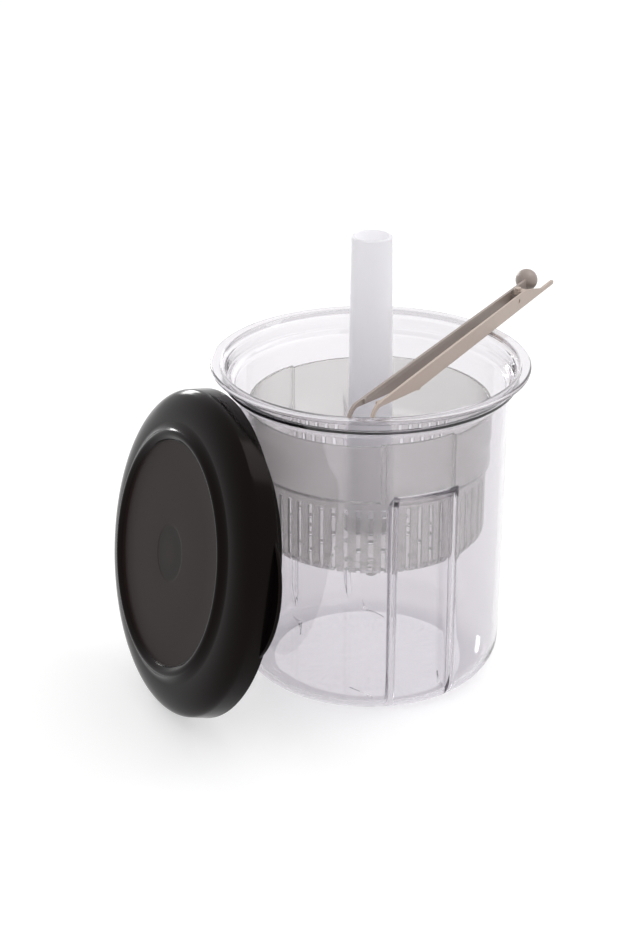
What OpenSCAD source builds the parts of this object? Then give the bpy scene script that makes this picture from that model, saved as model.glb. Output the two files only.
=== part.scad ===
// Pickle keeper: a clear jar, a slotted strainer that is lifted by a hollow stem, a lid that
// leans on the jar's side, and a pair of tongs that lie across its mouth.
// The jar stands on z = 0 round the Z axis, with its front towards -Y.
// The strainer is drawn lifted, the lid and the tongs where they are laid down.

/* [Jar] */
// Outer radius of the body above the bottom corner
body_r = 80; // [76:0.5:90]
// How much wider the body is at the neck than above the bottom corner
body_draft = 2.2; // [0.5:0.1:4]
// Height of the jar
jar_h = 197.9; // [190:0.1:230]
// Thickness of the jar's wall
jar_wall = 2.6; // [2:0.1:3.2]
// Thickness of the jar's floor
floor_t = 3.2; // [2.5:0.1:6]
// Outer radius of the bottom corner
corner_r = 22.5; // [14:0.5:26]
// How far the lip reaches out from the neck
lip_reach = 12.3; // [10.5:0.1:16]
// Height of the lip's edge
lip_h = 3.2; // [2.4:0.1:6]
// Depth of the step inside the mouth below the top of the lip
step_drop = 10.2; // [8:0.1:14]
// Width of the step inside the mouth
step_w = 2; // [1:0.1:3]

/* [Panels in the jar's wall] */
// Width of each panel
panel_w = 35.8; // [24:0.2:44]
// How deep each panel is set into the wall
panel_depth = 6.6; // [5:0.1:8]
// Height of each panel's face
panel_h = 135.3; // [110:0.5:145]
// Thickness of the walls beside each panel
panel_side = 2.2; // [1.6:0.1:3]
// Turn of the first panel from the front, towards +X
panel_turn = 23.4; // [0:0.1:45]

/* [Strainer] */
// Running gap between the strainer's wall and the panels
strainer_gap = 1.3; // [0.8:0.1:2]
// How far the strainer's wide band stands out of its lower wall
band_out = 2.65; // [2.2:0.05:3.2]
// Height of the strainer
strainer_h = 83.5; // [70:0.5:88]
// Height of the slotted lower wall
slotted_h = 46; // [36:0.5:56]
// Thickness of the strainer's wall
strainer_wall = 1.8; // [1.2:0.1:2.4]
// Thickness of the strainer's floor
strainer_floor = 2; // [1.5:0.1:3]
// Radius of the strainer's bottom corner
strainer_corner = 8; // [5:0.5:12]
// Width of one slot
slot_w = 2.6; // [1.6:0.1:3.4]
// Number of slots
slot_n = 60; // [36:4:68]
// Wall left above the slots
slot_margin = 3.5; // [2:0.5:8]
// Number of rings of drain holes in the strainer's floor
drain_rings = 3; // [1:1:4]
// Radius of one drain hole
drain_r = 2.8; // [1.5:0.1:3.2]
// Height of the feet under the strainer
foot_h = 3.5; // [2:0.1:6]
// Radius of the feet under the strainer
foot_r = 3; // [2:0.1:4]

/* [Stem] */
// Height of the stem above the strainer's floor
stem_h = 183; // [150:0.5:186]
// Radius of the stem's foot
stem_foot_r = 14; // [12.5:0.1:16]
// Radius of the stem at its top
stem_top_r = 12; // [10:0.1:12.4]
// Thickness of the stem's wall
stem_wall = 2.1; // [1.5:0.1:2.8]
// Height of the socket that holds the stem's foot
socket_h = 10; // [6:0.5:16]
// Thickness of the socket
socket_wall = 2.4; // [1.6:0.1:3.5]

/* [Lid] */
// Thickness of the lid
lid_wall = 1.8; // [1.4:0.1:2.4]
// Gap between the lid's skirt and the jar's lip
lid_gap = 0.6; // [0.3:0.05:1]
// Height of the lid's skirt
skirt_h = 10; // [7.5:0.1:12]
// Width of the lid's rounded shoulder, from the skirt in to the raised ring
shoulder_w = 23.1; // [19:0.1:32]
// Height of the disc above the skirt's edge
disc_rise = 21.6; // [19:0.1:24]
// Width of the raised ring round the disc
ring_w = 8; // [6:0.1:10]
// Height of the ring above the disc
ring_rise = 3.2; // [2.4:0.1:5]
// How far the lid's plug reaches below the skirt's edge
plug_drop = 11.5; // [8:0.1:13]
// Gap between the lid's plug and the jar's neck
plug_gap = 0.4; // [0.3:0.05:0.8]
// How far the lid's lifting tab reaches out of the skirt
tab_reach = 8.6; // [5:0.1:11]
// Angle that the lifting tab takes up round the lid
tab_angle = 40; // [28:1:50]
// Thickness of the lifting tab
tab_t = 2.2; // [1.6:0.1:3]
// Place of the lifting tab round the lid, from its lowest point towards the front
tab_turn = 96; // [60:1:110]
// Lean of the lid from upright
lid_lean = 11.5; // [10:0.1:20]
// Turn of the lid's place from -X, towards the front
lid_turn = 25.9; // [0:0.1:45]

/* [Tongs] */
// Width of each arm of the tongs
arm_w = 10; // [8:0.1:12]
// Thickness of each arm
arm_t = 1.6; // [1.2:0.1:2.2]
// Distance between the middles of the arms at the pin
arm_gap = 8.6; // [7.6:0.1:10]
// How far each arm is splayed
arm_splay = 0.35; // [0:0.05:0.8]
// Length of the back arm from the pin to its tip
back_len = 214; // [200:0.5:230]
// How much shorter the front arm is than the back arm
front_short = 6.5; // [4:0.5:12]
// Length of the tapered end of each arm
taper_len = 57; // [40:0.5:70]
// Width of the back arm's thin tip
tip_w = 2.6; // [2:0.1:4]
// Length of the back arm's thin tip
tip_len = 14; // [8:0.5:20]
// How far each tip bends down below the thin part
beak_h = 4; // [2:0.1:5]
// Distance from the pin to the middle of the knob
knob_back = 27; // [22:0.5:36]
// Radius of the knob
knob_r = 7; // [5.5:0.1:7.4]
// Reach of the front arm's tail behind the pin
tail_back = 45; // [38:0.5:52]
// Thickness of the tail
tail_w = 2.6; // [2:0.1:4]
// Radius of the pin
pin_r = 1.2; // [0.8:0.05:1.5]
// Running gap round the pin
pin_gap = 0.05; // [0.02:0.01:0.1]
// Height of each gripping tooth at the tips
tooth_h = 1.5; // [1:0.1:2]
// Distance of the tongs from the jar's axis
tong_off = 37.5; // [32:0.5:50]
// Direction of the tongs across the mouth, from +X
tong_turn = 61; // [50:0.5:75]
// How far the back arm's tip passes the inner edge of the lip
tip_over = 6.4; // [4:0.1:7]

/* [Hidden] */
$fn = 96;
eps = 0.01;
far = 200;            // reach of a cutting body past whatever it cuts
rest_gap = 0.3;       // gap between pieces that lie on each other

// Jar
neck_r = body_r + body_draft;
neck_in = neck_r - jar_wall;
step_z = jar_h - step_drop;
step_r = neck_in + 3;                       // inner edge of the step
mouth_r = step_r + step_w;                  // wall above the step
lip_r = neck_r + lip_reach;
lip_round = 1.4;
lip_in_r = mouth_r + 3.4;                   // inner edge of the lip's top
cove_r = 2.5;                               // hollow curve under the lip
collar_r = mouth_r + jar_wall;              // outside of the wall above the step
shoulder_z = step_z - 5;                    // where the body ends and the step begins
inner_corner = corner_r - jar_wall;
panel_r = body_r - panel_depth;             // outer face of a panel
panel_in = panel_r - jar_wall;              // inner face of a panel
ledge_z = panel_h + jar_wall * tan(22.5);   // inner edge of a panel's sloping top

// Strainer
strainer_r = panel_in - strainer_gap;
band_r = strainer_r + band_out;
strainer_z = ledge_z - strainer_gap + rest_gap * sqrt(2) - slotted_h;
channel_w = panel_w + 2 * panel_side + 1.8; // clears the panel's side walls
socket_r = stem_foot_r + socket_wall;
stem_z = strainer_z + strainer_floor;
slot_in = strainer_r - strainer_corner - 1; // where the slots end in the floor
drain_step = (slot_in - socket_r) / (drain_rings + 0.7);
function drain_at(k) = socket_r + (k - 0.25) * drain_step;

// Lid, in its own frame: the skirt's edge is at 0 and the outer face looks along +Z
lid_r = lip_r + lid_gap + lid_wall;
skirt_top_r = lid_r - 0.8;
ring_out = lid_r - shoulder_w;
disc_r = ring_out - ring_w;                 // the sunk disc inside the ring
plug_r = neck_in - plug_gap;
shoulder_out = skirt_top_r - ring_out;       // the shoulder is a quarter of an ellipse
shoulder_up = disc_rise - 0.4 - skirt_h;
function shoulder_at(a, t = 0) =             // a point on it, t inside its outer face
  [ring_out + (shoulder_out - t) * sin(a), skirt_h + (shoulder_up - t) * cos(a)];
function under_shoulder(r) =                 // height of its inner face at radius r
  skirt_h + (shoulder_up - lid_wall) * sqrt(1 - pow((r - ring_out) / (shoulder_out - lid_wall), 2));
tab_up = 0.6;                               // lower face of the tab above the skirt's edge
tab_tip = lid_r + tab_reach;
tab_from =                                  // middle of the tab's round edge, from the lid's axis
  (pow(tab_tip, 2) - pow(lid_r, 2)) / (2 * (tab_tip - lid_r * cos(tab_angle / 2)));
lid_z = lid_r * cos(lid_lean);
lid_top = 2 * lid_z;
lean_on_body = neck_r + rest_gap + plug_drop * cos(lid_lean) + plug_r * sin(lid_lean);
lean_on_collar = collar_r + rest_gap + lid_r * sin(lid_lean);
lean_on_lip = lid_top > jar_h - lip_h - rest_gap
  ? lip_r + rest_gap + (jar_h - lid_z) * tan(lid_lean) : 0;
lid_off = max(lean_on_body, lean_on_collar, lean_on_lip);

// Tongs, in their own frame: the pin is at the origin and the tips lie along +X
half_w = arm_w / 2;
back_off = tong_off - arm_gap / 2;
front_reach = sqrt(pow(lip_in_r, 2) - pow(back_off, 2));
pin_out = back_len - front_reach - tip_over;        // from the middle of the chord to the pin
lip_to_pin = pin_out - front_reach;
tip_rise = arm_w - tip_w - beak_h;                  // how much higher the arms end at the tips
tong_dip = asin(tip_rise / (2 * front_reach));
tong_z = jar_h + rest_gap + half_w * cos(tong_dip) + lip_to_pin * sin(tong_dip);
bend = 60;                                  // how far the arc at each tip turns
bend_r = (tip_w * (1 - cos(bend)) / 2 + beak_h) / (1 - cos(bend));
knuckle_r = pin_r + 1.4;
knuckle_h = arm_w / 3;
front_len = back_len - front_short;
dimple_at = 9;
dimple_r = 1.3;
dimple_deep = arm_t / 3;
tooth_back = 9.5;                           // from the front arm's tip back to the teeth
knob_out = 2;                               // how far the knob stands behind the back arm
knob_up = 1.5;

// Points along an arc, for the round stretches of an outline
function arc(c, r, a0, a1, n = 6) =
  [for (i = [0:n]) let (a = a0 + (a1 - a0) * i / n) [c[0] + r * cos(a), c[1] + r * sin(a)]];

// Turns a piece to the front of the jar and then by a
module from_front(a) {
  rotate([0, 0, a - 90]) children();
}

// The part of a round body that lies within w across a radius, on both sides of the jar
module across(w, z0, z1) {
  for (s = [0, 180])
    intersection() {
      children();
      from_front(panel_turn + s) translate([0, -w / 2, z0]) cube([far, w, z1 - z0]);
    }
}

module jar_outside() {
  rotate_extrude()
    polygon(concat(
      [[0, 0]],
      arc([body_r - corner_r, corner_r], corner_r, -90, 0, 10),
      [[neck_r, shoulder_z], [collar_r, step_z - jar_wall / 2], [collar_r, jar_h - lip_h - cove_r]],
      arc([collar_r + cove_r, jar_h - lip_h - cove_r], cove_r, 180, 90, 4),
      arc([lip_r - lip_round, jar_h - lip_h + lip_round], lip_round, -90, 0, 4),
      arc([lip_r - lip_round, jar_h - lip_round], lip_round, 0, 90, 4),
      [[0, jar_h]]
    ));
}

module jar_hollow() {
  rotate_extrude()
    polygon(concat(
      [[0, floor_t]],
      arc([body_r - corner_r, floor_t + inner_corner], inner_corner, -90, 0, 10),
      [
        [neck_in, shoulder_z + 1], [step_r - 0.8, step_z - 0.4], [step_r, step_z],
        [mouth_r, step_z], [mouth_r + 0.6, jar_h - 4], [lip_in_r, jar_h],
        [lip_in_r, jar_h + 1], [0, jar_h + 1]
      ]
    ));
}

module jar() {
  color([0.86, 0.9, 0.94, 0.35])
    difference() {
      jar_outside();
      // the panels, sunk in from outside under a sloping top
      across(panel_w, -1, jar_h)
        rotate_extrude()
          polygon([[panel_r, -1], [panel_r, panel_h], [panel_r + 20, panel_h + 20], [panel_r + 20, -1]]);
      difference() {
        jar_hollow();
        across(panel_w + 2 * panel_side, -1, jar_h)
          rotate_extrude()
            polygon([[panel_in, -1], [panel_in, ledge_z], [panel_in + 20, ledge_z + 20], [panel_in + 20, -1]]);
      }
    }
}

module strainer_outside() {
  z = strainer_z;
  rotate_extrude()
    polygon(concat(
      [[0, z]],
      arc([strainer_r - strainer_corner, z + strainer_corner], strainer_corner, -90, 0, 6),
      [[strainer_r, z + slotted_h], [band_r, z + slotted_h + band_out]],
      arc([band_r - 0.8, z + strainer_h - 0.8], 0.8, 0, 90, 3),
      [[0, z + strainer_h]]
    ));
}

module strainer_hollow() {
  z = strainer_z;
  r = strainer_r - strainer_wall;
  corner = strainer_corner - strainer_wall;
  rotate_extrude()
    polygon(concat(
      [[0, z + strainer_floor]],
      arc([r - corner, z + strainer_floor + corner], corner, -90, 0, 6),
      [
        [r, z + slotted_h + strainer_wall / 2],
        [r + band_out, z + slotted_h + strainer_wall / 2 + band_out],
        [r + band_out, z + strainer_h + 1], [0, z + strainer_h + 1]
      ]
    ));
}

// The ring outside radius r, from the step of the strainer upwards
module band_ring(r) {
  rotate_extrude()
    polygon([
      [r, strainer_z + slotted_h - 3], [r + 10, strainer_z + slotted_h - 3],
      [r + 10, strainer_z + strainer_h + 2], [r, strainer_z + strainer_h + 2]
    ]);
}

module slots() {
  for (i = [0:slot_n - 1])
    from_front(panel_turn + i * 360 / slot_n)
      translate([slot_in, -slot_w / 2, strainer_z - 1])
        cube([far / 4, slot_w, slotted_h + 1 - slot_margin]);
}

module drain_holes() {
  translate([0, 0, strainer_z - 1]) {
    cylinder(r = stem_foot_r / 3, h = strainer_floor + 2);
    for (k = [1:drain_rings])
      for (i = [0:6 * k + 5])
        rotate([0, 0, i * 60 / (k + 1)]) translate([drain_at(k), 0, 0])
          cylinder(r = drain_r, h = strainer_floor + 2);
  }
}

module strainer_feet() {
  for (a = [0:90:270])
    rotate([0, 0, a]) translate([slot_in - foot_r - 1, 0, strainer_z - foot_h])
      cylinder(r = foot_r, h = foot_h + eps);
}

module strainer_basket() {
  color([0.8, 0.84, 0.86, 0.8]) {
    difference() {
      union() {
        difference() {
          strainer_outside();
          // channels in the wide band, which pass the jar's panels
          across(channel_w, 0, jar_h) band_ring(strainer_r);
          difference() {
            strainer_hollow();
            across(channel_w + 2 * strainer_wall, 0, jar_h) band_ring(strainer_r - strainer_wall);
          }
        }
        translate([0, 0, strainer_z + strainer_floor - eps]) cylinder(r = socket_r, h = socket_h + eps);
        strainer_feet();
      }
      translate([0, 0, stem_z]) cylinder(r = stem_foot_r + pin_gap, h = socket_h + 1);
      slots();
      drain_holes();
    }
  }
}

module strainer_stem() {
  lean_z = socket_h + 2;
  color([0.93, 0.94, 0.96, 0.85])
    translate([0, 0, stem_z])
      rotate_extrude()
        polygon(concat(
          [[stem_foot_r - stem_wall, 0], [stem_foot_r, 0], [stem_foot_r, lean_z]],
          arc([stem_top_r - stem_wall / 2, stem_h - stem_wall / 2], stem_wall / 2, 0, 180, 6),
          [[stem_foot_r - stem_wall, lean_z]]
        ));
}

module lid_section() {
  t = lid_wall;
  top = disc_rise + ring_rise;
  round = ring_rise * 0.9;
  polygon(concat(
    // outer face: disc, raised ring, rounded shoulder and skirt
    [[0, disc_rise], [disc_r, disc_rise], [disc_r + 0.9, disc_rise + ring_rise * 0.55]],
    arc([disc_r + ring_w / 2, top - round], round, 130, 20, 6),
    [for (a = [4, 18, 32, 45, 57, 68, 79, 90]) shoulder_at(a)],
    [[lid_r, 0.4], [lid_r - 0.4, 0], [lid_r - t, 0], [lid_r - t, skirt_h - t]],
    // inner face, from the skirt back to the middle
    [for (a = [84, 73, 62, 50, 38]) shoulder_at(a, t)],
    [
      [plug_r + 0.6, under_shoulder(plug_r + 0.6)],
      [plug_r, -plug_drop + 1], [plug_r - 0.6, -plug_drop], [plug_r - t, -plug_drop],
      [plug_r - t, under_shoulder(plug_r - t)], [ring_out - 0.5, disc_rise - t],
      [0, disc_rise - t]
    ]
  ));
}

// Lifting tab, a crescent that stands out of the skirt
module lid_tab() {
  rotate([0, 0, tab_turn]) translate([0, 0, tab_up])
    difference() {
      translate([tab_from, 0, 0]) cylinder(r = tab_tip - tab_from, h = tab_t);
      translate([0, 0, -1]) cylinder(r = lid_r - lid_wall / 2, h = tab_t + 2);
    }
}

// Puts the lid on its edge beside the jar, leaning on it
module lean() {
  rotate([0, 0, 180 + lid_turn]) translate([lid_off, 0, lid_z]) rotate([0, 90 - lid_lean, 0]) children();
}

module lid() {
  color([0.13, 0.11, 0.11])
    lean()
      union() {
        rotate_extrude() lid_section();
        lid_tab();
      }
}

// Lays the tongs across the mouth, with the pin past the back of the lip
module lay_tongs() {
  rotate([0, 0, 180 + tong_turn]) translate([-pin_out, tong_off, tong_z]) rotate([0, tong_dip, 0]) children();
}

// A flat arm on edge, side = -1 for the back arm and 1 for the front one
module blade(side) {
  rotate([0, 0, side * arm_splay])
    translate([0, side * arm_gap / 2 + arm_t / 2, 0]) rotate([90, 0, 0]) linear_extrude(arm_t) children();
}

// Outline of the thin tip of an arm that ends at x, bent down in an arc
function beak(x) =
  let (c = [x - (bend_r + tip_w / 2) * sin(bend), half_w - bend_r - tip_w / 2])
  concat(arc(c, bend_r - tip_w / 2, 90, 90 - bend), arc(c, bend_r + tip_w / 2, 90 - bend, 90));

// Gripping tooth on the inner face of a tip
module tooth(side, x) {
  rotate([0, 0, side * arm_splay])
    translate([x, side * (arm_gap / 2 - arm_t / 2 + eps), half_w - tip_w])
      linear_extrude(tip_w) polygon([[-4, 0], [-1, -side * tooth_h], [0, -side * tooth_h], [0, 0]]);
}

// One ear of the hinge and the web that joins it to its arm
module knuckle(side, z0, h) {
  translate([0, 0, z0]) cylinder(r = knuckle_r, h = h);
  translate([-knuckle_r, side > 0 ? 0 : -(arm_gap / 2), z0]) cube([2 * knuckle_r, arm_gap / 2, h]);
}

module tong_arm_back() {
  color([0.66, 0.6, 0.56])
    lay_tongs() {
      difference() {
        union() {
          blade(-1)
            polygon(concat(
              [
                [-knob_back, -half_w + 1.5], [-knob_back + 4, -half_w], [back_len - taper_len, -half_w],
                [back_len - tip_len, half_w - tip_w - 0.6]
              ],
              beak(back_len),
              [[-knob_back, half_w - 1]]
            ));
          tooth(-1, front_len - tooth_back);
          knuckle(-1, -knuckle_h / 2, knuckle_h);
          rotate([0, 0, -arm_splay]) translate([-knob_back, -arm_gap / 2 - knob_out, knob_up])
            sphere(r = knob_r);
        }
        translate([0, 0, -arm_w]) cylinder(r = pin_r, h = 2 * arm_w);
      }
    }
}

module tong_arm_front() {
  ear = (arm_w - knuckle_h) / 2 - rest_gap;
  color([0.74, 0.68, 0.64])
    lay_tongs() {
      difference() {
        union() {
          blade(1)
            polygon(concat([
              [-tail_back + 1, -half_w], [front_len - taper_len - 4, -half_w],
              [front_len - taper_len - 1, -half_w - 1], [front_len - taper_len, -half_w],
              [front_len - tip_len, half_w - tip_w - 0.6]
            ],
            beak(front_len),
            [
              [-2, half_w], [-tail_back + 18, -half_w + tail_w],
              [-tail_back + 1, -half_w + tail_w], [-tail_back, -half_w + tail_w / 2]
            ]));
          tooth(1, front_len - tooth_back);
          knuckle(1, -half_w, ear);
          knuckle(1, half_w - ear, ear);
        }
        translate([0, 0, -arm_w]) cylinder(r = pin_r + pin_gap, h = 2 * arm_w);
        // small round dimple in the outer face, ahead of the hinge
        rotate([0, 0, arm_splay]) translate([dimple_at, (arm_gap + arm_t) / 2 - dimple_deep, 1])
          rotate([-90, 0, 0]) cylinder(r = dimple_r, h = 2);
      }
    }
}

module tong_pin() {
  color([0.7, 0.64, 0.6])
    lay_tongs() {
      translate([0, 0, -half_w]) cylinder(r = pin_r, h = arm_w + rest_gap);
      translate([0, 0, half_w + rest_gap]) cylinder(r = pin_r + 0.9, h = 0.9);
    }
}

jar();
strainer_basket();
strainer_stem();
lid();
tong_arm_back();
tong_arm_front();
tong_pin();
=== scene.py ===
from math import acos, asin, atan2, cos, degrees, hypot, pi, radians, sin, sqrt, tan

import bmesh
import bpy
from mathutils import Matrix, Vector


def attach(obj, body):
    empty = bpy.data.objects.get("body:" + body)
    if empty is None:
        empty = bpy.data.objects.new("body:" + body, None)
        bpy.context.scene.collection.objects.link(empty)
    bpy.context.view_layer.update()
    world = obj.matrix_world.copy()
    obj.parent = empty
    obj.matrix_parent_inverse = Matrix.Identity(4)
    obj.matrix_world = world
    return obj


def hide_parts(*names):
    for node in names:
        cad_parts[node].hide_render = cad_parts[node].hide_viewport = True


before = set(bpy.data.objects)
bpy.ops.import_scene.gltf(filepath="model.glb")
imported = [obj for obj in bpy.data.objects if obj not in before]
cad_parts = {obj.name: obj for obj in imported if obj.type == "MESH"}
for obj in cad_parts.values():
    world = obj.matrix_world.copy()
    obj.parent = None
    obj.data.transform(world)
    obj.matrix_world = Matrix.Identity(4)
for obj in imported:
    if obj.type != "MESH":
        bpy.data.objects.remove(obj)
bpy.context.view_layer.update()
mm = 0.001  # settings are in millimetres and degrees, and the camera's tilt is in radians
print("frame loaded:", ", ".join(sorted(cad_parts)))


# Nodes, for materials and for geometry

def toLinear(hexColour):
    # sRGB hex to linear, with an alpha of 1
    channels = [int(hexColour[i:i + 2], 16) / 255 for i in (1, 3, 5)]
    linear = [c / 12.92 if c <= 0.04045 else ((c + 0.055) / 1.055) ** 2.4 for c in channels]
    return tuple(linear) + (1,)


def addNode(tree, kind, inputs=None, **settings):
    # a node with its settings; inputs maps an input's name or number to a value, a socket or a node
    node = tree.nodes.new(kind)
    for key, value in settings.items():
        setattr(node, key, value)
    for key, value in (inputs or {}).items():
        if isinstance(value, bpy.types.Node):
            value = value.outputs[0]
        if isinstance(value, bpy.types.NodeSocket):
            tree.links.new(value, node.inputs[key])
        else:
            node.inputs[key].default_value = value
    return node


def newMaterial(name, **shader):
    material = bpy.data.materials.new(name)
    material.use_nodes = True
    tree = material.node_tree
    bsdf = tree.nodes["Principled BSDF"]
    for key, value in shader.items():
        bsdf.inputs[key.replace("_", " ")].default_value = value
    return material, tree, bsdf


def newTree(name, **inputs):
    # a geometry tree with its named inputs; a whole number makes an integer input
    tree = bpy.data.node_groups.new(name, "GeometryNodeTree")
    tree.interface.new_socket("Geometry", in_out="OUTPUT", socket_type="NodeSocketGeometry")
    tree.interface.new_socket("Geometry", in_out="INPUT", socket_type="NodeSocketGeometry")
    for title, value in inputs.items():
        kind = "NodeSocketInt" if isinstance(value, int) else "NodeSocketFloat"
        tree.interface.new_socket(title, in_out="INPUT", socket_type=kind).default_value = value
    return tree, addNode(tree, "NodeGroupInput").outputs


def endTree(tree, geometry, material):
    real = addNode(tree, "GeometryNodeRealizeInstances", {0: geometry})
    painted = addNode(tree, "GeometryNodeSetMaterial", {0: real, "Material": material})
    addNode(tree, "NodeGroupOutput", {0: painted})


def runTree(obj, tree, **values):
    # the inputs are set by identifier, and the result replaces the object's mesh
    modifier = obj.modifiers.new(tree.name, "NODES")
    modifier.node_group = tree
    for socket in tree.interface.items_tree:
        if socket.in_out == "INPUT" and socket.name in values:
            modifier[socket.identifier] = values[socket.name]
    evaluated = obj.evaluated_get(bpy.context.evaluated_depsgraph_get())
    mesh = bpy.data.meshes.new_from_object(evaluated)
    obj.modifiers.clear()
    obj.data = mesh


# Meshes

def meshOf(name, verts, faces=(), edges=()):
    mesh = bpy.data.meshes.new(name)
    mesh.from_pydata([Vector(v) * mm for v in verts], list(edges), list(faces))
    mesh.update()
    obj = bpy.data.objects.new(name, mesh)
    bpy.context.scene.collection.objects.link(obj)
    return obj


def tidyMesh(obj, angle, turnOut=False):
    # smooth shading, kept sharp where two faces meet at more than angle
    mesh = obj.data
    bm = bmesh.new()
    bm.from_mesh(mesh)
    if turnOut:
        bmesh.ops.recalc_face_normals(bm, faces=bm.faces)
    for face in bm.faces:
        face.smooth = True
    for edge in bm.edges:
        edge.smooth = len(edge.link_faces) == 2 and edge.calc_face_angle(0) < radians(angle)
    bm.to_mesh(mesh)
    bm.free()


def arcPoints(r, z, radius, start, end, count):
    # points round (r, z) as corners without a fillet
    turns = [radians(start + (end - start) * k / count) for k in range(count + 1)]
    return [(r + radius * cos(a), z + radius * sin(a), 0) for a in turns]


mostOfHalf = 0.495  # a fillet takes a little less than half of the stretch on either side


def roundCorners(corners, arcStep=12):
    # corners are (radius, height, fillet); a fillet becomes an arc, a point every arcStep degrees
    points = []
    for i, (r, z, fillet) in enumerate(corners):
        if not fillet or i in (0, len(corners) - 1):
            points.append((r, z))
            continue
        here = Vector((r, z))
        back = Vector(corners[i - 1][:2]) - here
        on = Vector(corners[i + 1][:2]) - here
        turn = back.angle(on)
        reach = min(fillet / tan(turn / 2), back.length * mostOfHalf, on.length * mostOfHalf)
        radius = reach * tan(turn / 2)
        start = here + back.normalized() * reach
        end = here + on.normalized() * reach
        halfway = (back.normalized() + on.normalized()).normalized()
        centre = here + halfway * hypot(radius, reach)
        a0 = atan2(start.y - centre.y, start.x - centre.x)
        sweep = atan2(end.y - centre.y, end.x - centre.x) - a0
        sweep = (sweep + pi) % (2 * pi) - pi
        steps = max(2, round(degrees(abs(sweep)) / arcStep))
        for k in range(steps + 1):
            a = a0 + sweep * k / steps
            points.append((centre.x + radius * cos(a), centre.y + radius * sin(a)))
    return points


def refine(points, longest, fineFrom=0, fineTo=0, fine=0.7):
    # splits long stretches, into short ones between two heights
    out = [points[0]]
    for (r0, z0), (r1, z1) in zip(points, points[1:]):
        cuts = [0.0, 1.0]
        if z0 != z1:
            marks = ((fineFrom - z0) / (z1 - z0), (fineTo - z0) / (z1 - z0))
            cuts += [f for f in marks if 0 < f < 1]
        cuts.sort()
        for f0, f1 in zip(cuts, cuts[1:]):
            inFine = fineFrom < z0 + (z1 - z0) * (f0 + f1) / 2 < fineTo
            length = hypot(r1 - r0, z1 - z0) * (f1 - f0)
            count = max(1, round(length / (fine if inFine else longest)))
            for k in range(1, count + 1):
                f = f0 + (f1 - f0) * k / count
                out.append((r0 + (r1 - r0) * f, z0 + (z1 - z0) * f))
    return out


sameSpot = 0.000001  # metres: points this close are one
onAxis = 0.000001  # millimetres: a ring this small is a pole


def revolveTree(material):
    # spins a profile that lies in the XZ plane about Z: a grid with a row of points for each turn
    tree, given = newTree("revolve_" + material.name, segments=96)
    size = addNode(
        tree, "GeometryNodeAttributeDomainSize", {0: given["Geometry"]}, component="MESH")
    points = size.outputs["Point Count"]
    rows = addNode(tree, "ShaderNodeMath", {0: given["segments"], 1: 1.0}, operation="ADD")
    grid = addNode(tree, "GeometryNodeMeshGrid", {"Vertices X": rows, "Vertices Y": points})
    index = addNode(tree, "GeometryNodeInputIndex")
    row = addNode(tree, "ShaderNodeMath", {0: index, 1: points}, operation="DIVIDE")
    row = addNode(tree, "ShaderNodeMath", {0: row}, operation="FLOOR")
    point = addNode(tree, "ShaderNodeMath", {0: index, 1: points}, operation="MODULO")
    step = addNode(tree, "ShaderNodeMath", {0: 2 * pi, 1: given["segments"]}, operation="DIVIDE")
    angle = addNode(tree, "ShaderNodeMath", {0: row, 1: step}, operation="MULTIPLY")
    sample = addNode(
        tree, "GeometryNodeSampleIndex", {0: given["Geometry"], "Index": point},
        data_type="FLOAT_VECTOR", domain="POINT")
    tree.links.new(addNode(tree, "GeometryNodeInputPosition").outputs[0], sample.inputs["Value"])
    turned = addNode(
        tree, "ShaderNodeVectorRotate", {"Vector": sample, "Angle": angle}, rotation_type="Z_AXIS")
    spun = addNode(tree, "GeometryNodeSetPosition", {0: grid, "Position": turned})
    closed = addNode(tree, "GeometryNodeMergeByDistance", {0: spun, "Distance": sameSpot})
    endTree(tree, closed, material)
    return tree


def revolve(name, profile, segments, material, angle, place=None):
    # a closed profile ends on its first point, an open one ends on the axis
    edges = [(k, k + 1) for k in range(len(profile) - 1)]
    obj = meshOf(name, [(r, 0, z) for r, z in profile], edges=edges)
    runTree(obj, revolveTree(material), segments=segments)
    if place is not None:
        obj.data.transform(place)
    tidyMesh(obj, angle, True)
    return obj


def ringsToMesh(name, rings, angle):
    # rings of equal count from pole to pole; a ring with one point is a pole
    verts, starts = [], []
    for ring in rings:
        starts.append(len(verts))
        verts += ring
    faces = []
    for a, b in zip(range(len(rings)), range(1, len(rings))):
        ra, rb = len(rings[a]), len(rings[b])
        count = max(ra, rb)
        for k in range(count):
            n = (k + 1) % count
            if ra == 1:
                faces.append((starts[a], starts[b] + n, starts[b] + k))
            elif rb == 1:
                faces.append((starts[a] + k, starts[a] + n, starts[b]))
            else:
                faces.append((starts[a] + k, starts[a] + n, starts[b] + n, starts[b] + k))
    obj = meshOf(name, verts, faces)
    tidyMesh(obj, angle, True)
    return obj


def smoothStep(x, low, high):
    t = min(1, max(0, (x - low) / (high - low)))
    return t * t * (3 - 2 * t)


def softMin(a, b, blend):
    # the lesser of two, rounded over where they meet
    h = max(0, 1 - abs(a - b) / blend)
    return min(a, b) - h * h * blend / 4


# How the columns of the jar and the basket stand: the stops are shares of half a panel and of the
# step out of it, and the wall's columns start wallFrom degrees from the panel's middle
panelMesh = {
    "faceStops": (0, 0.16, 0.32, 0.48, 0.64, 0.8, 0.92), "bends": 5, "bendOut": 0.16,
    "sideStops": (0.38, 0.62), "wallFrom": 22.0, "flatRadius": 57.5, "evenRadius": 48.0,
    "evenHeight": 24.0, "narrowest": 58.0,
}


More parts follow.
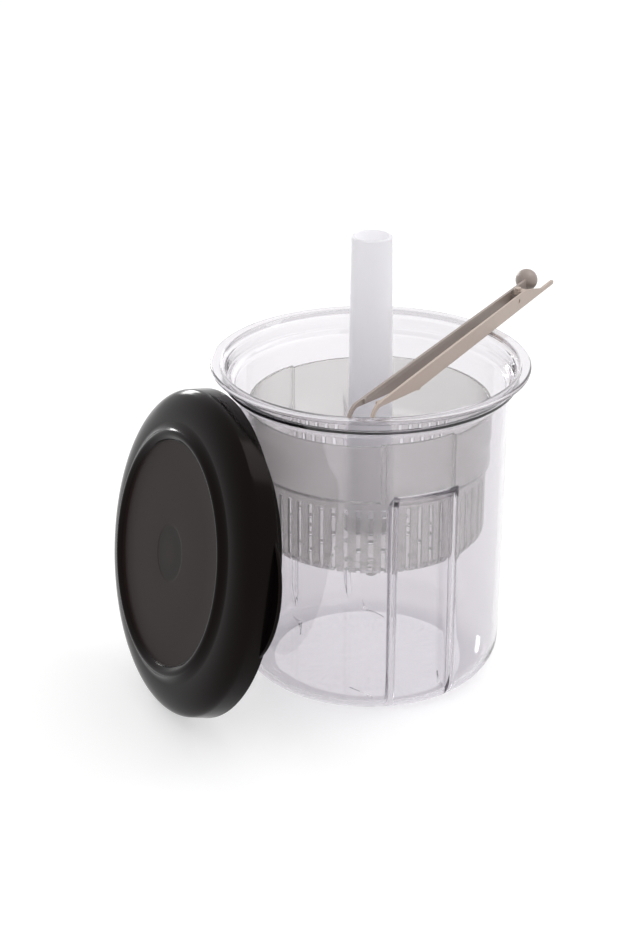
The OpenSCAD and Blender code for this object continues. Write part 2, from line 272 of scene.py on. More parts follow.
def panelColumns(turn, halfWidth, fillet, sideCount):
    # columns round the body: (kind, angle of the panel's middle or of the column in the wall,
    # offset across the panel, how far out of it)
    s = panelMesh
    half = [(f * (halfWidth - fillet), 0.0) for f in s["faceStops"]]
    turns = [pi / 2 * k / s["bends"] for k in range(s["bends"] + 1)]
    for a in turns:
        half.append((halfWidth - fillet + fillet * sin(a), s["bendOut"] * (1 - cos(a))))
    half += [(halfWidth, stop) for stop in s["sideStops"]]
    for a in turns:
        half.append((halfWidth + fillet * (1 - cos(a)), 1 - s["bendOut"] + s["bendOut"] * sin(a)))
    half.append((halfWidth + fillet * 2, 1.0))
    panel = [(-across, out) for across, out in reversed(half[1:])] + half
    step = (180 - 2 * s["wallFrom"]) / (sideCount - 1)
    columns = []
    for middle in (turn, turn + 180):
        columns += [("panel", middle, across, out) for across, out in panel]
        columns += [("wall", middle + s["wallFrom"] + step * k, 0.0, 1.0) for k in range(sideCount)]
    return columns


def panelRing(r, z, columns, face, levelFrom):
    # one ring of the body; face is the panel's radius at this height, None where there is none
    s = panelMesh
    ring = []
    count = len(columns)
    half = (count // 2 - sum(c[0] == "wall" for c in columns) // 2) // 2
    # the columns are evenly spaced above the panels and in the middle of the floor
    above = smoothStep(z, levelFrom, levelFrom + s["evenHeight"])
    even = max(above, 1 - smoothStep(r, s["evenRadius"], s["flatRadius"]))
    for i, (kind, middle, across, out) in enumerate(columns):
        evenAngle = columns[half][1] + (i - half) * 360 / count
        if kind == "panel":
            here = r if face is None else face + (r - face) * out
            angle = middle + degrees(asin(across / max(here, s["narrowest"])))
        else:
            here = r
            angle = middle
        angle += ((evenAngle - angle + 180) % 360 - 180) * even
        a = radians(angle - 90)
        ring.append((here * cos(a), here * sin(a), z))
    return ring


def finishPiece(obj, body, node, material=None):
    if material is not None:
        obj.data.materials.clear()
        obj.data.materials.append(material)
    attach(obj, body)
    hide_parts(node)
    print(obj.name, "made:", len(obj.data.polygons), "faces")


# Materials

def objectCoords(tree):
    return addNode(tree, "ShaderNodeTexCoord").outputs["Object"]


def noiseBump(tree, bsdf, size, strength, depth, detail=2.0):
    # a bump whose grains are about size millimetres across
    noise = addNode(tree, "ShaderNodeTexNoise", {
        "Vector": objectCoords(tree), "Scale": 1 / (size * mm), "Detail": detail})
    bump = addNode(tree, "ShaderNodeBump", {
        "Height": noise.outputs["Fac"], "Strength": strength, "Distance": depth * mm})
    tree.links.new(bump.outputs["Normal"], bsdf.inputs["Normal"])


def letLampsThrough(tree, bsdf, tint):
    # Cycles' glass stops the lamps; a clear wall lets them in, so the piece is light inside
    shadow = addNode(tree, "ShaderNodeLightPath").outputs["Is Shadow Ray"]
    clear = addNode(tree, "ShaderNodeBsdfTransparent", {"Color": toLinear(tint)})
    mix = addNode(tree, "ShaderNodeMixShader", {0: shadow, 1: bsdf, 2: clear})
    tree.links.new(mix.outputs[0], tree.nodes["Material Output"].inputs["Surface"])


# Moulded clear SAN from a polished tool: clear across a wall, greyer where light runs along inside it,
# and its faint flow ripple makes highlights waver
clearMoulded, tree, bsdf = newMaterial(
    "clearMouldedSan", Base_Color=toLinear("#e9e7ea"), Roughness=0.02, IOR=1.5,
    Transmission_Weight=1.0)
noiseBump(tree, bsdf, 26, 0.02, 2, 1.0)
letLampsThrough(tree, bsdf, "#f6f5f8")
depth = addNode(
    tree, "ShaderNodeVolumeAbsorption", {"Color": toLinear("#d6d2d8"), "Density": 30.0})
tree.links.new(depth.outputs[0], tree.nodes["Material Output"].inputs["Volume"])

# Moulded natural polypropylene from an eroded tool: milky, blurs what is behind it, with a fine grain
frostedMoulded, tree, bsdf = newMaterial(
    "frostedPolypropylene", Base_Color=toLinear("#edecea"), Roughness=0.22, IOR=1.42,
    Transmission_Weight=0.88)
noiseBump(tree, bsdf, 0.9, 0.10, 0.3)
letLampsThrough(tree, bsdf, "#e0e0df")

# The same polypropylene as a smoother, thicker tube: whiter, and its uneven melt clouds it a little
milkyMoulded, tree, bsdf = newMaterial(
    "milkyPolypropylene", Base_Color=toLinear("#fcfbfd"), Roughness=0.3, IOR=1.45,
    Transmission_Weight=0.5)
noiseBump(tree, bsdf, 16, 0.06, 1, 3.0)
letLampsThrough(tree, bsdf, "#e8e8ec")

# Grey-beige ABS with a satin mould finish: dull highlights and a fine even grain
beigeMoulded, tree, bsdf = newMaterial(
    "satinBeigeAbs", Base_Color=toLinear("#b3a398"), Roughness=0.4, IOR=1.54)
noiseBump(tree, bsdf, 0.8, 0.12, 0.2)

# The same ABS painted darker as painted shade: the back arm of the tongs lies in the front arm's shade
beigeMouldedPaintedShade, tree, bsdf = newMaterial(
    "satinBeigeAbsPaintedShade", Base_Color=toLinear("#978a83"), Roughness=0.42, IOR=1.54)
noiseBump(tree, bsdf, 0.8, 0.12, 0.2)


# Jar

jar = {
    "bodyRadius": 80.0, "bodyDraft": 2.2, "height": 197.9, "wall": 2.6, "floor": 3.2, "corner": 22.5,
    "lipReach": 12.3, "lipHeight": 3.2, "lipRound": 1.4, "lipBevel": 3.4, "bevelTop": 2.4,
    "bevelDrop": 4.0, "cove": 2.5, "stepDrop": 10.2, "stepWidth": 2.0, "stepReach": 3.0,
    "neckDrop": 5.0, "panelWidth": 35.8, "panelDepth": 6.6, "panelHeight": 135.3, "panelSide": 2.2,
    "panelTurn": 23.4, "edgeRound": 1.1, "innerRound": 2.4, "ledgeBlend": 1.6, "ledgeRise": 12.0,
    "closeBelow": 4.0, "closeAbove": 13.0, "ringStep": 9.0, "sideColumns": 60,
}
neckRadius = jar["bodyRadius"] + jar["bodyDraft"]
neckInside = neckRadius - jar["wall"]
stepZ = jar["height"] - jar["stepDrop"]
stepRadius = neckInside + jar["stepReach"]
mouthRadius = stepRadius + jar["stepWidth"]
lipRadius = neckRadius + jar["lipReach"]
lipInside = mouthRadius + jar["lipBevel"]
collarRadius = mouthRadius + jar["wall"]
panelRadius = jar["bodyRadius"] - jar["panelDepth"]
panelInside = panelRadius - jar["wall"]
ledgeZ = jar["panelHeight"] + jar["wall"] * tan(radians(22.5))  # the ledges slope at 45 degrees


def makeJar():
    s = jar
    wall, top, corner = s["wall"], s["height"], s["corner"]
    under = top - s["lipHeight"]
    seam = lipInside + s["bevelTop"]
    outside = roundCorners([
        (0, 0, 0), (s["bodyRadius"], 0, corner), (neckRadius, stepZ - s["neckDrop"], 2.5),
        (collarRadius, stepZ - wall / 2, 1.8), (collarRadius, under, s["cove"]),
        (lipRadius, under, s["lipRound"]), (lipRadius, top, s["lipRound"]), (seam, top, 0)], 6)
    inside = roundCorners([
        (seam, top, 0), (lipInside, top, 1.8), (mouthRadius + 0.6, top - s["bevelDrop"], 1.4),
        (mouthRadius, stepZ, 0.6), (stepRadius, stepZ, 0.7), (stepRadius - 0.8, stepZ - 0.4, 0.8),
        (neckInside, stepZ - 4, 1.5), (s["bodyRadius"] - wall, s["floor"], corner - wall),
        (0, s["floor"], 0)], 6)
    # rings stand close together where the panels end
    closeFrom = s["panelHeight"] - s["closeBelow"]
    closeTo = s["panelHeight"] + s["closeAbove"]
    outside = refine(outside, s["ringStep"], closeFrom, closeTo)
    inside = refine(inside, s["ringStep"], closeFrom, closeTo)
    halfWidth = s["panelWidth"] / 2
    outColumns = panelColumns(s["panelTurn"], halfWidth, s["edgeRound"], s["sideColumns"])
    inColumns = panelColumns(
        s["panelTurn"], halfWidth + s["panelSide"], s["innerRound"], s["sideColumns"])
    rings = []
    for profile, columns, panel, panelTop in (
            (outside, outColumns, panelRadius, s["panelHeight"]),
            (inside, inColumns, panelInside, ledgeZ)):
        for r, z in profile:
            if r < onAxis:
                rings.append([(0, 0, z)])
                continue
            face = None
            if z < panelTop + s["ledgeRise"]:
                face = softMin(r, panel + max(0, z - panelTop), s["ledgeBlend"])
            rings.append(panelRing(r, z, columns, face, closeTo))
    return ringsToMesh("jarBody", rings, 50)


finishPiece(makeJar(), "jar", "jar", clearMoulded)


# Strainer

strainer = {
    "gap": 1.3, "bandOut": 2.65, "height": 83.5, "slottedHeight": 46.0, "wall": 1.8, "floor": 2.0,
    "corner": 8.0, "slotWidth": 2.6, "slotCount": 60, "slotMargin": 3.5,
    "drainRings": 3, "drainRadius": 2.8, "feet": 4, "footHeight": 3.5, "footRadius": 3.0,
    "socketHeight": 10.0, "socketWall": 2.4, "channelGap": 0.9, "edgeRound": 0.8, "rimRound": 0.8,
    "bendRound": 0.6, "ringStep": 7.0, "sideColumns": 46, "restGap": 0.3, "cutPast": 1.0,
}
stem = {
    "height": 183.0, "footRadius": 14.0, "topRadius": 12.0, "wall": 2.1, "fit": 0.05,
    "aboveSocket": 2.0, "ringStep": 12.0,
}
strainerRadius = panelInside - strainer["gap"]
bandRadius = strainerRadius + strainer["bandOut"]
strainerZ = ledgeZ - strainer["gap"] + strainer["restGap"] * sqrt(2) - strainer["slottedHeight"]
channelWidth = jar["panelWidth"] + 2 * (jar["panelSide"] + strainer["channelGap"])
socketRadius = stem["footRadius"] + strainer["socketWall"]
slotInside = strainerRadius - strainer["corner"] - 1
drainStep = (slotInside - socketRadius) / (strainer["drainRings"] + 0.7)
neverEven = 1000  # a height above everything: the basket's columns keep their places up to its rim


def strainerTree(material):
    # feet are added and slots and drain holes cut; each kind is one cutter, repeated round the axis
    tree, given = newTree(
        "slotsAndHoles", slotCount=60, slotWidth=0.0026, slotHeight=0.04, slotInside=0.06,
        slotReach=0.02, slotMiddle=0.02, slotTurn=0.0, feet=4, footRadius=0.003, footHeight=0.0035,
        footRing=0.05, drainRadius=0.0028, drainInside=0.02, drainStep=0.01, floorMiddle=0.0,
        cutHeight=0.004, middleRadius=0.004)

    def around(piece, count, radius, height, turn):
        circle = addNode(tree, "GeometryNodeMeshCircle", {"Vertices": count, "Radius": radius})
        index = addNode(tree, "GeometryNodeInputIndex")
        step = addNode(tree, "ShaderNodeMath", {0: 2 * pi, 1: count}, operation="DIVIDE")
        angle = addNode(tree, "ShaderNodeMath", {0: index, 1: step}, operation="MULTIPLY")
        outward = addNode(tree, "FunctionNodeEulerToRotation", {
            0: addNode(tree, "ShaderNodeCombineXYZ", {"Z": angle})})
        copies = addNode(tree, "GeometryNodeInstanceOnPoints", {
            "Points": circle, "Instance": piece, "Rotation": outward})
        real = addNode(tree, "GeometryNodeRealizeInstances", {0: copies})
        move = addNode(tree, "ShaderNodeCombineXYZ", {"Z": height})
        spin = addNode(tree, "ShaderNodeCombineXYZ", {"Z": turn})
        return addNode(
            tree, "GeometryNodeTransform", {0: real, "Translation": move, "Rotation": spin})

    def rod(radius, height):
        return addNode(
            tree, "GeometryNodeMeshCylinder", {"Vertices": 28, "Radius": radius, "Depth": height})

    size = addNode(tree, "ShaderNodeCombineXYZ", {
        "X": given["slotReach"], "Y": given["slotWidth"], "Z": given["slotHeight"]})
    half = addNode(tree, "ShaderNodeMath", {0: given["slotReach"], 1: 0.5}, operation="MULTIPLY")
    slotRing = addNode(tree, "ShaderNodeMath", {0: given["slotInside"], 1: half}, operation="ADD")
    cutters = [around(
        addNode(tree, "GeometryNodeMeshCube", {"Size": size}),
        given["slotCount"], slotRing, given["slotMiddle"], given["slotTurn"])]
    for k in range(1, strainer["drainRings"] + 1):
        out = addNode(
            tree, "ShaderNodeMath", {0: given["drainStep"], 1: k - 0.25}, operation="MULTIPLY")
        ring = addNode(tree, "ShaderNodeMath", {0: given["drainInside"], 1: out}, operation="ADD")
        hole = rod(given["drainRadius"], given["cutHeight"])
        cutters.append(around(hole, 6 * k + 6, ring, given["floorMiddle"], 0.0))
    middle = addNode(tree, "ShaderNodeCombineXYZ", {"Z": given["floorMiddle"]})
    cutters.append(addNode(tree, "GeometryNodeTransform", {
        0: rod(given["middleRadius"], given["cutHeight"]), "Translation": middle}))
    # a foot reaches as far above the middle of the floor as below it
    feetHeight = addNode(
        tree, "ShaderNodeMath", {0: given["footHeight"], 1: 2.0}, operation="MULTIPLY")
    foot = rod(given["footRadius"], feetHeight)
    feet = around(foot, given["feet"], given["footRing"], given["floorMiddle"], 0.0)

    whole = addNode(tree, "GeometryNodeMeshBoolean", operation="UNION", solver="MANIFOLD")
    tree.links.new(given["Geometry"], whole.inputs["Mesh 2"])
    tree.links.new(feet.outputs[0], whole.inputs["Mesh 2"])
    cut = addNode(
        tree, "GeometryNodeMeshBoolean", {"Mesh 1": whole}, operation="DIFFERENCE", solver="MANIFOLD")
    for cutter in cutters:
        tree.links.new(cutter.outputs[0], cut.inputs["Mesh 2"])
    endTree(tree, cut, material)
    return tree


def makeBasket():
    s = strainer
    z, wall, out = strainerZ, s["wall"], s["bandOut"]
    stepTop = z + s["slottedHeight"]
    rim = z + s["height"]
    floorTop = z + s["floor"]
    socketTop = floorTop + s["socketHeight"]
    boreRadius = stem["footRadius"] + stem["fit"]
    seam = bandRadius - wall / 2
    insideBend = s["bendRound"]
    outside = roundCorners([
        (0, z, 0), (strainerRadius, z, s["corner"]), (strainerRadius, stepTop, 0.5),
        (bandRadius, stepTop + out, 0.7), (bandRadius, rim, s["rimRound"]), (seam, rim, 0)], 8)
    inside = roundCorners([
        (seam, rim, 0), (bandRadius - wall, rim, s["rimRound"]),
        (bandRadius - wall, stepTop + wall / 2 + out, insideBend),
        (strainerRadius - wall, stepTop + wall / 2, insideBend),
        (strainerRadius - wall, floorTop, s["corner"] - wall), (socketRadius, floorTop, 1.0),
        (socketRadius, socketTop, 0.6), (boreRadius, socketTop, 0.4),
        (boreRadius, floorTop, 0), (0, floorTop, 0)], 8)
    halfWidth = channelWidth / 2
    outColumns = panelColumns(jar["panelTurn"], halfWidth, s["edgeRound"], s["sideColumns"])
    inColumns = panelColumns(jar["panelTurn"], halfWidth + wall, s["edgeRound"], s["sideColumns"])
    rings = []
    for profile, columns, face in (
            (refine(outside, s["ringStep"]), outColumns, strainerRadius),
            (refine(inside, s["ringStep"]), inColumns, strainerRadius - wall)):
        for r, h in profile:
            if r < onAxis:
                rings.append([(0, 0, h)])
            else:
                rings.append(panelRing(r, h, columns, min(r, face), neverEven))
    shell = ringsToMesh("strainerBasket", rings, 40)
    reach = strainerRadius + s["bandOut"] + s["cutPast"] - slotInside
    slotHeight = s["slottedHeight"] - s["slotMargin"] + s["cutPast"]
    runTree(
        shell, strainerTree(frostedMoulded), slotCount=s["slotCount"], slotWidth=s["slotWidth"] * mm,
        slotHeight=slotHeight * mm, slotInside=slotInside * mm, slotReach=reach * mm,
        slotMiddle=(z - s["cutPast"] + slotHeight / 2) * mm,
        slotTurn=radians(jar["panelTurn"] - 90), feet=s["feet"], footRadius=s["footRadius"] * mm,
        footHeight=(s["footHeight"] + s["floor"] / 2) * mm,
        footRing=(slotInside - s["footRadius"] - 1) * mm, drainRadius=s["drainRadius"] * mm,
        drainInside=socketRadius * mm, drainStep=drainStep * mm,
        floorMiddle=(z + s["floor"] / 2) * mm, cutHeight=(s["floor"] + 2 * s["cutPast"]) * mm,
        middleRadius=stem["footRadius"] / 3 * mm)
    tidyMesh(shell, 40)
    return shell


finishPiece(makeBasket(), "strainer", "strainer_basket")


def makeStem():
    # straight in its socket, then it narrows to the top, where the edge is half round
    s = stem
    z, wall, foot = strainerZ + strainer["floor"], s["wall"], s["footRadius"]
    straight = z + strainer["socketHeight"] + s["aboveSocket"]
    middle = s["topRadius"] - wall / 2
    profile = roundCorners(
        [(foot - wall, z, 0), (foot, z, 0.5), (foot, straight, 3)]
        + arcPoints(middle, z + s["height"] - wall / 2, wall / 2, 0, 180, 10)
        + [(foot - wall, straight, 3), (foot - wall, z, 0)], 10)
    return revolve("strainerStem", refine(profile, s["ringStep"]), 96, milkyMoulded, 50)


finishPiece(makeStem(), "strainer", "strainer_stem")


# Lid

lid = {
    "wall": 1.8, "gap": 0.6, "skirtHeight": 10.0, "shoulderWidth": 23.1, "shoulderDrop": 0.4,
    "skirtIn": 0.8, "discRise": 21.6, "ringWidth": 8.0, "ringRise": 3.2, "plugDrop": 11.5,
    "plugGap": 0.4, "lean": 11.5, "turn": 25.9, "restGap": 0.3, "gateRadius": 16.0, "gateDepth": 0.15,
    "tabReach": 8.6, "tabAngle": 40.0, "tabThickness": 2.2, "tabTurn": 96.0, "tabUp": 0.6,
    "tabSteps": 48, "inset": 0.05, "ringStep": 14.0, "segments": 256,
}
lidRadius = lipRadius + lid["gap"] + lid["wall"]
plugRadius = neckInside - lid["plugGap"]
ringOutside = lidRadius - lid["shoulderWidth"]
discRadius = ringOutside - lid["ringWidth"]
lean = radians(lid["lean"])
lidOffset = max(
    neckRadius + lid["restGap"] + lid["plugDrop"] * cos(lean) + plugRadius * sin(lean),
    collarRadius + lid["restGap"] + lidRadius * sin(lean))
lidPlace = (
    Matrix.Rotation(radians(180 + lid["turn"]), 4, "Z")
    @ Matrix.Translation(Vector((lidOffset, 0, lidRadius * cos(lean))) * mm)
    @ Matrix.Rotation(pi / 2 - lean, 4, "Y"))


lidFinish = {
    "shoulderColour": "#080505", "discColour": "#1f1514", "gateColour": "#130c0b",
    "satinEdge": (0.8, -0.2), "gateEdge": 1.2, "centreShare": 0.75, "centreFade": 0.7,
    "gloss": (0.13, 0.2), "satin": 0.42, "mottleScale": 90.0, "grainScale": 1100.0, "grainDepth": 0.2,
}


def lidMaterial():
    # Black polypropylene: the shoulder and skirt come from a polished tool and shine, the disc from an
    # eroded one, so it is a dull brown-black that scatters the light. The gate leaves a duller round
    # patch. The gloss is mottled every 11 mm or so, and the disc's grain is just under 1 mm
    f = lidFinish
    material, tree, bsdf = newMaterial(
        "blackPolypropylene", Base_Color=toLinear("#1a1514"), Roughness=0.16, IOR=1.49,
        Specular_IOR_Level=0.09, Specular_Tint=toLinear("#ffeae6"))
    place = {
        "Vector": objectCoords(tree), "Location": lidPlace.translation, "Rotation": lidPlace.to_euler()}
    here = addNode(tree, "ShaderNodeMapping", place, vector_type="TEXTURE")
    parts = addNode(tree, "ShaderNodeSeparateXYZ", {0: here})
    flat = addNode(tree, "ShaderNodeCombineXYZ", {"X": parts.outputs["X"], "Y": parts.outputs["Y"]})
    radius = addNode(tree, "ShaderNodeVectorMath", {0: flat}, operation="LENGTH").outputs["Value"]
    satin = addNode(tree, "ShaderNodeMapRange", {
        "Value": radius, "From Min": (discRadius + f["satinEdge"][0]) * mm,
        "From Max": (discRadius + f["satinEdge"][1]) * mm})
    gate = addNode(tree, "ShaderNodeMapRange", {
        "Value": radius, "From Min": (lid["gateRadius"] + f["gateEdge"]) * mm,
        "From Max": (lid["gateRadius"] - f["gateEdge"]) * mm}, interpolation_type="SMOOTHSTEP")
    centre = addNode(tree, "ShaderNodeMapRange", {
        "Value": radius, "From Min": lid["gateRadius"] * f["centreShare"] * mm, "From Max": 0.0,
        "To Max": f["centreFade"]})
    dull = addNode(tree, "ShaderNodeMath", {0: gate, 1: centre}, operation="SUBTRACT")
    shade = addNode(tree, "ShaderNodeMix", {
        "Factor": satin, 6: toLinear(f["shoulderColour"]), 7: toLinear(f["discColour"])},
        data_type="RGBA")
    shade = addNode(tree, "ShaderNodeMix", {
        "Factor": dull, 6: shade.outputs[2], 7: toLinear(f["gateColour"])}, data_type="RGBA")
    tree.links.new(shade.outputs[2], bsdf.inputs["Base Color"])
    mottle = addNode(tree, "ShaderNodeTexNoise", {
        "Vector": objectCoords(tree), "Scale": f["mottleScale"], "Detail": 4.0})
    gloss = addNode(tree, "ShaderNodeMapRange", {
        "Value": mottle.outputs["Fac"], "To Min": f["gloss"][0], "To Max": f["gloss"][1]})
    rough = addNode(tree, "ShaderNodeMix", {
        "Factor": satin, 2: gloss.outputs[0], 3: f["satin"]}, data_type="FLOAT")
    tree.links.new(rough.outputs[0], bsdf.inputs["Roughness"])
    grain = addNode(tree, "ShaderNodeTexNoise", {
        "Vector": objectCoords(tree), "Scale": f["grainScale"], "Detail": 2.0})
    height = addNode(tree, "ShaderNodeMath", {0: grain.outputs["Fac"], 1: satin}, operation="MULTIPLY")
    bump = addNode(tree, "ShaderNodeBump", {
        "Height": height, "Strength": 0.25, "Distance": f["grainDepth"] * mm})
    tree.links.new(bump.outputs["Normal"], bsdf.inputs["Normal"])
    return material


def makeLid():
    # the outside stands an inset inside the solid, so that no facet comes through its box
    s = lid
    t, rise, skirt, inset = s["wall"], s["discRise"], s["skirtHeight"], s["inset"]
    top = rise + s["ringRise"] - inset
    ringRound = s["ringRise"] * 0.9
    gate, gateZ = s["gateRadius"], rise - s["gateDepth"]
    out = lidRadius - s["skirtIn"] - ringOutside - inset
    up = rise - s["shoulderDrop"] - skirt - inset

    def shoulder(angles, inwards):
        # the shoulder is a quarter of an ellipse
        turns = [radians(a) for a in angles]
        across, height = out - inwards, up - inwards
        return [(ringOutside + across * sin(a), skirt + height * cos(a), 0) for a in turns]

    def underShoulder(r):
        return skirt + (up - t) * sqrt(1 - ((r - ringOutside) / (out - t)) ** 2)

    disc = [
        (0, rise - s["gateDepth"] * 0.4, 0), (gate * 0.7, gateZ, 4), (gate, gateZ, 1),
        (gate + 1.5, rise, 1), (discRadius, rise, 0.5),
        (discRadius + 0.9, rise + s["ringRise"] * 0.55, 0.8)]
    ring = arcPoints(discRadius + s["ringWidth"] / 2, top - ringRound, ringRound, 125, 25, 12)
    slope = shoulder([5, 9, 14] + list(range(20, 91, 5)), 0)
    rim = [
        (lidRadius - inset, 0.3, 0.5), (lidRadius - 0.5, 0, 0.3), (lidRadius - t, 0, 0.5),
        (lidRadius - t, skirt - t, 1)]
    underSlope = shoulder(range(84, 37, -6), t)
    plug = [
        (plugRadius + 0.6, underShoulder(plugRadius + 0.6), 0.8), (plugRadius, -s["plugDrop"], 0.7),
        (plugRadius - t, -s["plugDrop"], 0.6), (plugRadius - t, underShoulder(plugRadius - t), 1.5),
        (ringOutside - 0.5, rise - t, 2), (0, rise - t, 0)]
    profile = roundCorners(disc + ring + slope + rim + underSlope + plug, 10)
    shell = revolve(
        "lidShell", refine(profile, s["ringStep"]), s["segments"], lidMaterial(), 40, lidPlace)
    addTab(shell)
    return shell


def addTab(shell):
    # the lifting tab is a crescent: its edge is a round arc that springs from the skirt, half round in
    # section, and it is swept round the lid's axis from one pointed end to the other
    s = lid
    thick, bottom, inner = s["tabThickness"], s["tabUp"], lidRadius - s["wall"] / 2
    tip = lidRadius + s["tabReach"] - s["inset"]
    rootReach = lidRadius * cos(radians(s["tabAngle"] / 2))
    middle = (tip ** 2 - lidRadius ** 2) / (2 * (tip - rootReach))
    edge = tip - middle
    widest = degrees(acos((inner ** 2 + middle ** 2 - edge ** 2) / (2 * inner * middle)))
    rings = []
    for k in range(s["tabSteps"] + 1):
        turn = radians(widest * (2 * k / s["tabSteps"] - 1))
        reach = middle * cos(turn) + sqrt(edge ** 2 - (middle * sin(turn)) ** 2)
        a = turn + radians(s["tabTurn"])
        if k in (0, s["tabSteps"]):
            rings.append([(inner * cos(a), inner * sin(a), bottom + thick / 2)])
            continue
        half = min(thick / 2, reach - inner)
        squeeze = half * 2 / thick
        roundEdge = arcPoints(reach - half, bottom + thick / 2, thick / 2, -90, 90, 8)
        section = [(inner, bottom)]
        section += [(reach - half + (p[0] - reach + half) * squeeze, p[1]) for p in roundEdge]
        section += [(inner, bottom + thick)]
        rings.append([(r * cos(a), r * sin(a), z) for r, z in section])
    tab = ringsToMesh("liftingTab", rings, 60)
    tab.data.transform(lidPlace)
    for face in tab.data.polygons:
        face.material_index = shell.data.polygons[0].material_index
    bm = bmesh.new()
    bm.from_mesh(shell.data)
    bm.from_mesh(tab.data)
    bm.to_mesh(shell.data)
    bm.free()
    bpy.data.objects.remove(tab)


finishPiece(makeLid(), "lid", "lid")


# Tongs

tongs = {"edgeRound": 0.35, "flatAngle": 0.5, "smoothAngle": 35, "sharpAngle": 40}


def softCopy(node, name):
    # a merged copy of an arm's solid: flat faces are made one, and sharp edges are rounded
    obj = bpy.data.objects.new(name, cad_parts[node].data.copy())
    obj.data.name = name
    bpy.context.scene.collection.objects.link(obj)
    bm = bmesh.new()
    bm.from_mesh(obj.data)
    bmesh.ops.remove_doubles(bm, verts=bm.verts, dist=sameSpot)
    bmesh.ops.dissolve_limit(bm, angle_limit=radians(tongs["flatAngle"]), verts=bm.verts, edges=bm.edges)
    bm.to_mesh(obj.data)
    bm.free()
    tidyMesh(obj, tongs["smoothAngle"])
    bevel = obj.modifiers.new("softEdges", "BEVEL")
    bevel.width = tongs["edgeRound"] * mm
    bevel.segments = 2
    bevel.limit_method = "ANGLE"
    bevel.angle_limit = radians(tongs["sharpAngle"])
    return obj


# the back arm takes the darker copy of the beige ABS, which is painted shade
finishPiece(
    softCopy("tong_arm_back", "tongArmBack"), "tongs", "tong_arm_back", beigeMouldedPaintedShade)
finishPiece(
    softCopy("tong_arm_front", "tongArmFront"), "tong_front", "tong_arm_front",
    beigeMoulded)
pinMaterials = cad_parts["tong_pin"].data.materials
pinMaterials.clear()
pinMaterials.append(beigeMoulded)


# Floor, light and camera

studio = {
    "floorHalf": 3000, "floorColour": "#c4c4c4", "floorLift": 0.5, "worldFront": 0.93,
    "worldBack": 0.86, "worldFade": 0.8,
}
lamps = {
    "rightSoftbox": {"place": (650, 200, 1200), "aim": (-50, 0, 120), "size": (700, 1000), "power": 5},
    "backSoftbox": {"place": (-560, 1200, 400), "aim": (-130, 0, 100), "size": (400, 200), "power": 4},
}
camera = {
    "tilt": 0.41563, "distance": 1383.5, "aim": (-35.38, 0, 129.8), "focalPixels": 2303.17,
    "imageHeight": 931, "farthest": 20000,
}


def seenWhite(tree):
    # 1 for the rays that see the background: straight on, in a reflection or through glass
    path = addNode(tree, "ShaderNodeLightPath").outputs
    straight = addNode(tree, "ShaderNodeMath", {
        0: path["Is Camera Ray"], 1: path["Is Transmission Ray"]}, operation="MAXIMUM")
    return addNode(tree, "ShaderNodeMath", {0: straight, 1: path["Is Glossy Ray"]}, operation="MAXIMUM")


def makeFloor():
    # a matt grey sheet that takes the shadow, lifted to white for the rays that see it
    s = studio
    half = s["floorHalf"]
    corners = [(-half, -half, 0), (half, -half, 0), (half, half, 0), (-half, half, 0)]
    floor = meshOf("floorSheet", corners, [(0, 1, 2, 3)])
    material, tree, bsdf = newMaterial(
        "paleFloor", Base_Color=toLinear(s["floorColour"]), Roughness=0.8)
    lift = addNode(
        tree, "ShaderNodeMath", {0: seenWhite(tree), 1: s["floorLift"]}, operation="MULTIPLY")
    glow = addNode(tree, "ShaderNodeEmission", {"Strength": lift})
    both = addNode(tree, "ShaderNodeAddShader", {0: bsdf, 1: glow})
    tree.links.new(both.outputs[0], tree.nodes["Material Output"].inputs["Surface"])
    floor.data.materials.append(material)


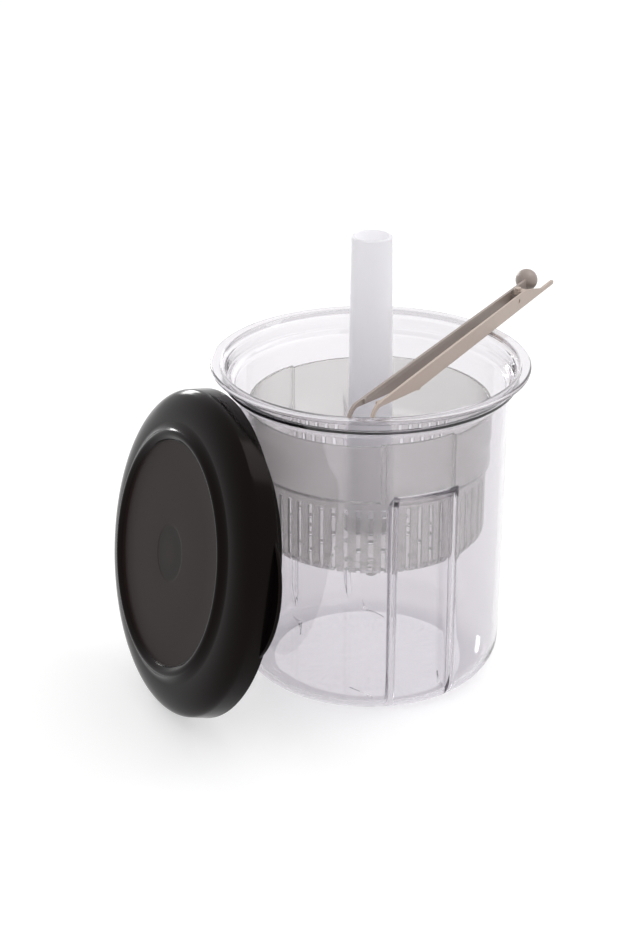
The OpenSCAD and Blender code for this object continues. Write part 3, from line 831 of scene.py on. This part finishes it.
def makeWorld():
    # the background is white, and the light itself is a little stronger from the front than from
    # above and behind
    s = studio
    world = bpy.data.worlds.new("studioWhite")
    bpy.context.scene.world = world
    world.use_nodes = True
    tree = world.node_tree
    skyward = addNode(tree, "ShaderNodeTexCoord").outputs["Generated"]
    parts = addNode(tree, "ShaderNodeSeparateXYZ", {0: skyward}).outputs
    behind = addNode(tree, "ShaderNodeMath", {0: parts["Y"], 1: parts["Z"]}, operation="ADD")
    level = addNode(tree, "ShaderNodeMapRange", {
        "Value": behind, "From Min": -s["worldFade"], "From Max": s["worldFade"],
        "To Min": s["worldFront"], "To Max": s["worldBack"]})
    strength = addNode(
        tree, "ShaderNodeMix", {"Factor": seenWhite(tree), 2: level, 3: 1.0}, data_type="FLOAT")
    background = tree.nodes["Background"].inputs
    tree.links.new(strength.outputs[0], background["Strength"])
    background["Color"].default_value = (1, 1, 1, 1)


def addLamp(name):
    s = lamps[name]
    data = bpy.data.lights.new(name, "AREA")
    data.shape = "RECTANGLE"
    data.size = s["size"][0] * mm
    data.size_y = s["size"][1] * mm
    data.energy = s["power"]
    lamp = bpy.data.objects.new(name, data)
    lamp.location = Vector(s["place"]) * mm
    ahead = (Vector(s["aim"]) - Vector(s["place"])) * mm
    lamp.rotation_euler = ahead.to_track_quat("-Z", "Y").to_euler()
    bpy.context.scene.collection.objects.link(lamp)


def makeCamera():
    # it looks along +Y, tilted down; the picture's long side is its height
    s = camera
    data = bpy.data.cameras.new("photoCamera")
    data.lens = s["focalPixels"] / s["imageHeight"] * data.sensor_width
    data.clip_end = s["farthest"] * mm
    obj = bpy.data.objects.new("photoCamera", data)
    ahead = Vector((0, cos(s["tilt"]), -sin(s["tilt"])))
    obj.location = (Vector(s["aim"]) - ahead * s["distance"]) * mm
    obj.rotation_euler = (pi / 2 - s["tilt"], 0, 0)
    bpy.context.scene.collection.objects.link(obj)
    bpy.context.scene.camera = obj


makeFloor()
makeWorld()
addLamp("rightSoftbox")
addLamp("backSoftbox")
makeCamera()
bpy.context.scene.view_settings.view_transform = "Standard"
# light that is caught inside a clear wall is reflected many times before it gets out
cycles = bpy.context.scene.cycles
cycles.max_bounces = 20
cycles.glossy_bounces = 16
cycles.transmission_bounces = 20
print("studio set: floor, world, lamps and camera")
